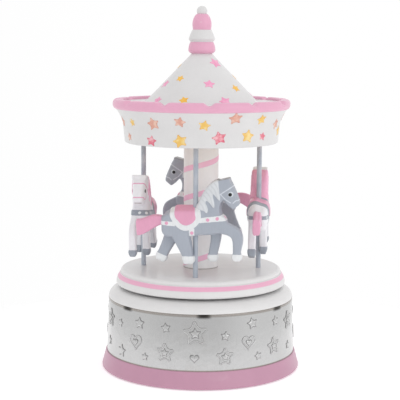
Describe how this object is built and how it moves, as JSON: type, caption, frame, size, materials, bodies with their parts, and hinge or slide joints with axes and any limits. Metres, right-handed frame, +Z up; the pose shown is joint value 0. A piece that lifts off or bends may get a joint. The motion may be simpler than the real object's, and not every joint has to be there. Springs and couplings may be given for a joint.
{
  "type": "carousel music box",
  "caption": "Round music box with a turning carousel: horses on poles between a platform and a flared canopy with a cone roof, over a silver-banded case with a wound movement.",
  "frame": {"origin": "middle of the underside, on the surface that the box stands on", "axes": "+Z up along the carousel's turning axis; the front horse's pole stands at -Y"},
  "size_m": [0.115, 0.115, 0.208],
  "materials": {
    "felt": "pressed felt",
    "mauve_paint": "satin paint on turned wood",
    "white_paint": "satin paint on turned wood",
    "pink_paint": "satin paint on turned wood",
    "bare_wood": "sanded, unpainted",
    "silver_sheet": "satin embossed sheet",
    "pole_paint": "satin grey paint",
    "grey_horse_paint": "hand-painted satin grey",
    "white_horse_paint": "hand-painted satin white",
    "steel": "machined",
    "spring_steel": "blued and tempered",
    "brass": "machined",
    "cast_metal": "die-cast, unpainted",
    "nylon": "moulded"
  },
  "bodies": {
    "base": {"felt_ring": "felt", "plinth": "mauve_paint", "floor_screws": "steel", "floor_board": "bare_wood", "movement_screws": "steel", "case_wall": "bare_wood", "silver_sleeve": "silver_sheet", "top_cover": "white_paint", "shaft_bush": "brass", "thrust_washer": "nylon", "bedplate": "cast_metal", "comb": "spring_steel", "comb_screws": "steel", "governor_frame": "cast_metal", "governor_screws": "steel"},
    "winder": {"winding_arbor": "steel", "winding_key": "steel"},
    "cylinder": {"cylinder_arbor": "steel", "drive_pinion": "brass", "pin_cylinder": "brass", "cylinder_wheel": "brass"},
    "governor": {"governor_arbor": "steel", "worm_wheel": "brass"},
    "fly": {"worm_shaft": "steel", "fly_vane": "nylon"},
    "carousel": {"spring_barrel": "brass", "mainspring": "spring_steel", "barrel_cap": "brass", "drive_shaft": "steel", "hub_flange": "steel", "hub_screws": "steel", "platform": "white_paint", "column": "white_paint", "canopy_board": "bare_wood", "canopy_skirt": "white_paint", "canopy_deck": "white_paint", "canopy_rim": "pink_paint", "roof_cone": "white_paint", "finial_base": "pink_paint", "finial_collar": "white_paint", "finial_bulb": "pink_paint", "finial_ball": "white_paint", "finial_pin": "bare_wood", "pole_front": "pole_paint", "pole_right": "pole_paint", "pole_back": "pole_paint", "pole_left": "pole_paint", "horse_front": "grey_horse_paint", "horse_right": "white_horse_paint", "horse_back": "grey_horse_paint", "horse_left": "white_horse_paint"}
  },
  "joints": [
    {"name": "carousel_spin", "type": "hinge", "parent": "base", "child": "carousel", "pos_m": [0, 0, 0], "axis": [0, 0, 1], "continuous": true},
    {"name": "key_turn", "type": "hinge", "parent": "base", "child": "winder", "pos_m": [0, 0, 0], "axis": [0, 0, 1], "continuous": true},
    {"name": "cylinder_turn", "type": "hinge", "parent": "base", "child": "cylinder", "pos_m": [0, 0, 0.02805], "axis": [1, 0, 0], "continuous": true},
    {"name": "governor_turn", "type": "hinge", "parent": "base", "child": "governor", "pos_m": [0, 0.008, 0.02805], "axis": [1, 0, 0], "continuous": true},
    {"name": "fly_spin", "type": "hinge", "parent": "base", "child": "fly", "pos_m": [0.0379, 0.0136, 0], "axis": [0, 0, 1], "continuous": true}
  ],
  "couplings": [
    {"joint": "cylinder_turn", "follows": "carousel_spin", "ratio": 4},
    {"joint": "governor_turn", "follows": "carousel_spin", "ratio": -16},
    {"joint": "fly_spin", "follows": "carousel_spin", "ratio": 320}
  ]
}
